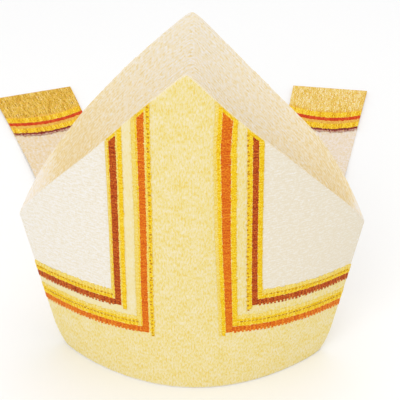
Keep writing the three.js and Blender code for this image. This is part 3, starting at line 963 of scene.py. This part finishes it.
BORDER_MATERIALS = {
    "ground": slubbed_gold("orange straw ground", ("#d98c22", "#e8b040", "#f0c860"),
                           streak_mm=(1.5, 4.0), contrast=0.18),
    "gold": satin_thread("mottled gold yarn", ("#7c3c1e", "#c68a18", "#e8ba30", "#f2d470", "#f8ecd0"),
                         places=(0.05, 0.25, 0.5, 0.75, 1)),
    "yellow": satin_thread("flecked yellow thread", ("#a8500e", "#e6a40a", "#f4c60c", "#fada3c", "#fdf0a8"),
                           places=(0.04, 0.26, 0.45, 0.75, 1)),
    "red": satin_thread("red satin thread", ("#b8260c", "#d6400e", "#ec7424")),
    "dark": satin_thread("dark red brown thread", ("#5c140e", "#862a1c", "#b05a44")),
    "rose": satin_thread("pale rose thread", ("#a8685a", "#c99a86", "#e2c4b0")),
}
for lappet, lie in LAPPETS.items():
    work = Needlework(BORDER_MATERIALS)

    def on_border(across, along, lift):
        offset = np.clip(along / LAPPET_END_WIDTH, -BORDER_REACH, BORDER_REACH)
        bow = np.where(offset < 0, *lie["bow"]) * (2 * offset) ** 2 * np.clip(across / FIELD_LENGTH, 0, 1)
        distance = LAPPET_RUN - across + bow
        return lappet_point(lappet, offset, distance, LAPPET_THICKNESS / 2 + BORDER_PROUD + lift)

    offsets = np.linspace(-0.5, 0.5, LAPPET_COLUMNS)
    offset, across = np.meshgrid(offsets, np.linspace(BORDER + BORDER_SHIFT, BORDER_EDGE, BORDER_ROWS))
    along = offset * LAPPET_END_WIDTH
    outer = on_border(across, along, 0 * across)
    inner = on_border(across, along, 0 * across - BORDER_PROUD + BORDER_CLEARANCE)
    work.add_cloth("ground", outer, inner, np.stack([along, across], axis=-1))

    # Floats in rows, which slip past each other except along the end
    half_border = LAPPET_END_WIDTH / 2
    middle, half = side_by_side(-half_border, half_border, FLOAT_PITCH)
    field_length = FIELD_LENGTH + BORDER_SHIFT
    for low in np.arange(FIELD_START, field_length - 0.5 * FLOAT_LENGTH, FLOAT_LENGTH):
        high = min(low + FLOAT_LENGTH, field_length) + FLOAT_LAP
        slip = 0 * middle
        if low > FIELD_START:
            slip = rng.uniform(-FLOAT_SLIP, FLOAT_SLIP, len(middle)) * FLOAT_LENGTH
        points, faces, cloth, shade = satin(on_border, low + slip, high + slip, middle, half, rng,
                                            jag=FLOAT_JAG, height=FLOAT_HEIGHT)
        work.add("gold", points, faces, cloth, lie["pale"] + shade)

    # Lines across the lappet
    middle, half = side_by_side(-half_border, half_border, LEVEL_PITCH)
    for thread, low, high in BORDER_LINES:
        threads = satin(on_border, low + BORDER_SHIFT, high + BORDER_SHIFT, middle, half, rng,
                        jag=LINE_JAG[thread], height=STITCH_HEIGHT + LINE_RAISED[thread])
        work.add(thread, *threads)
    border = work.finish(f"{lappet}_gold_end")
    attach(border, "root")
    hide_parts(f"{lappet}_border")
    band, stitches, area = bands[lappet]

# Floor
# A plain pale studio floor, painted matt white. It lies level under the rim and the lappets, and is wide
# enough to fill the view from every side.
FLOOR_HALF = 6.0
floor_mesh = bpy.data.meshes.new("floor")
floor_mesh.from_pydata([(-FLOOR_HALF, -FLOOR_HALF, 0), (FLOOR_HALF, -FLOOR_HALF, 0),
                        (FLOOR_HALF, FLOOR_HALF, 0), (-FLOOR_HALF, FLOOR_HALF, 0)], [], [(0, 1, 2, 3)])
floor = bpy.data.objects.new("floor", floor_mesh)
bpy.context.collection.objects.link(floor)
floor_paint = bare_material("matt white paint")
paint = add_node(floor_paint, "ShaderNodeBsdfPrincipled", {"Base Color": linear("#fbfbfb"), "Roughness": 0.9})
add_node(floor_paint, "ShaderNodeOutputMaterial", {"Surface": paint.outputs["BSDF"]})
floor_mesh.materials.append(floor_paint)

# Light and camera
# Two large soft boxes, one above and to the left of the camera and one overhead, with even white light
# all round. The camera looks down on the front from about 36 degrees, as in the photograph.
ROOM_LIGHT = 0.76
SOFT_BOXES = {"front soft box": {"place": (-0.5, -1.8, 2.1), "power": 17},
              "overhead soft box": {"place": (0.3, 0.2, 2.4), "power": 12}}
SOFT_BOX_SIZE = 1.8
LIT_POINT = Vector((0, 0, 0.15))
scene = bpy.context.scene
scene.view_settings.view_transform = "Standard"
world = bpy.data.worlds.new("studio")
world.use_nodes = True
background = world.node_tree.nodes["Background"]
background.inputs["Color"].default_value = (1, 1, 1, 1)
background.inputs["Strength"].default_value = ROOM_LIGHT
scene.world = world
for name, box in SOFT_BOXES.items():
    lamp = bpy.data.lights.new(name, "AREA")
    lamp.shape = "DISK"
    lamp.size = SOFT_BOX_SIZE
    lamp.energy = box["power"]
    holder = bpy.data.objects.new(name, lamp)
    holder.location = box["place"]
    holder.rotation_euler = (LIT_POINT - holder.location).to_track_quat("-Z", "Y").to_euler()
    bpy.context.collection.objects.link(holder)

VIEW_AZIMUTH = np.radians(2.273)
VIEW_ELEVATION = np.radians(36.02)
VIEW_DISTANCE = 1.3
VIEW_TARGET = Vector((0.0089, 0, 0.1748))
FOCAL_PIXELS = 1442.8
FRAME_PIXELS = 400
SENSOR = 36.0
camera = bpy.data.cameras.new("camera")
camera.sensor_width = SENSOR
camera.lens = SENSOR * FOCAL_PIXELS / FRAME_PIXELS
camera_object = bpy.data.objects.new("camera", camera)
level = np.cos(VIEW_ELEVATION)
view_back = Vector((np.sin(VIEW_AZIMUTH) * level, -np.cos(VIEW_AZIMUTH) * level, np.sin(VIEW_ELEVATION)))
camera_object.location = VIEW_TARGET + VIEW_DISTANCE * view_back
camera_object.rotation_euler = (-view_back).to_track_quat("-Z", "Y").to_euler()
bpy.context.collection.objects.link(camera_object)
scene.camera = camera_object
